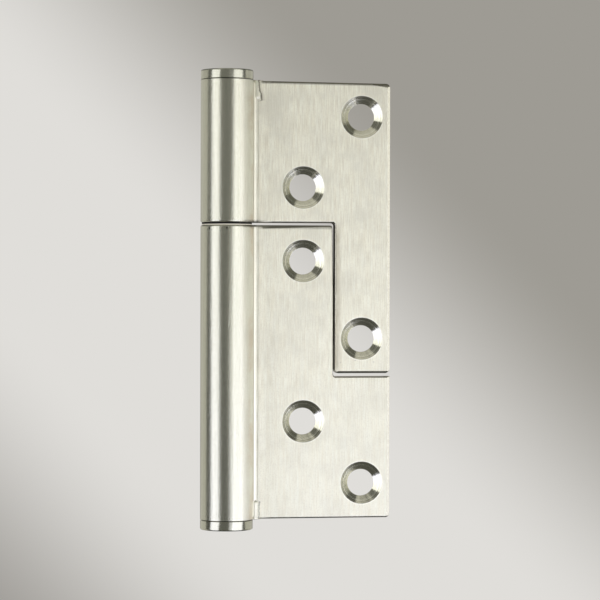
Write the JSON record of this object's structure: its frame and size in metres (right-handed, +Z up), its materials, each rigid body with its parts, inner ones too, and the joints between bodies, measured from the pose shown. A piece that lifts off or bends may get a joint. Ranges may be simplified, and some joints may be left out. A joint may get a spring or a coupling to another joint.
{
  "type": "lift-off hinge",
  "caption": "Stainless lift-off hinge: nested L-shaped leaves with rolled knuckles, fixed pin, bush, washer and turned end caps.",
  "frame": {"origin": "centre of the lower end cap's outer face, on the pin axis", "axes": "+Z up the pin axis, +X from the pin axis to the free edges of the nested leaves, -Y towards the viewer of the picture"},
  "size_m": [0.0435, 0.012, 0.1044],
  "materials": {
    "leaf_steel": "brushed stainless steel, grain along the barrel",
    "turned_steel": "fine turned stainless steel",
    "pin_steel": "ground stainless steel",
    "bush_nylon": "natural nylon",
    "washer_nylon": "black nylon"
  },
  "bodies": {
    "frame_side": {"frame_leaf": "leaf_steel", "hinge_pin": "pin_steel", "lower_end_cap": "turned_steel"},
    "washer": {"thrust_washer": "washer_nylon"},
    "door_side": {"door_leaf": "leaf_steel", "bearing_bush": "bush_nylon", "upper_end_cap": "turned_steel"}
  },
  "joints": [
    {"name": "swing", "type": "hinge", "parent": "frame_side", "child": "washer", "pos_m": [0, 0, 0.06945], "axis": [0, 0, 1], "continuous": true},
    {"name": "lift_off", "type": "slide", "parent": "washer", "child": "door_side", "axis": [0, 0, 1], "range_m": [0, 0.045]}
  ]
}
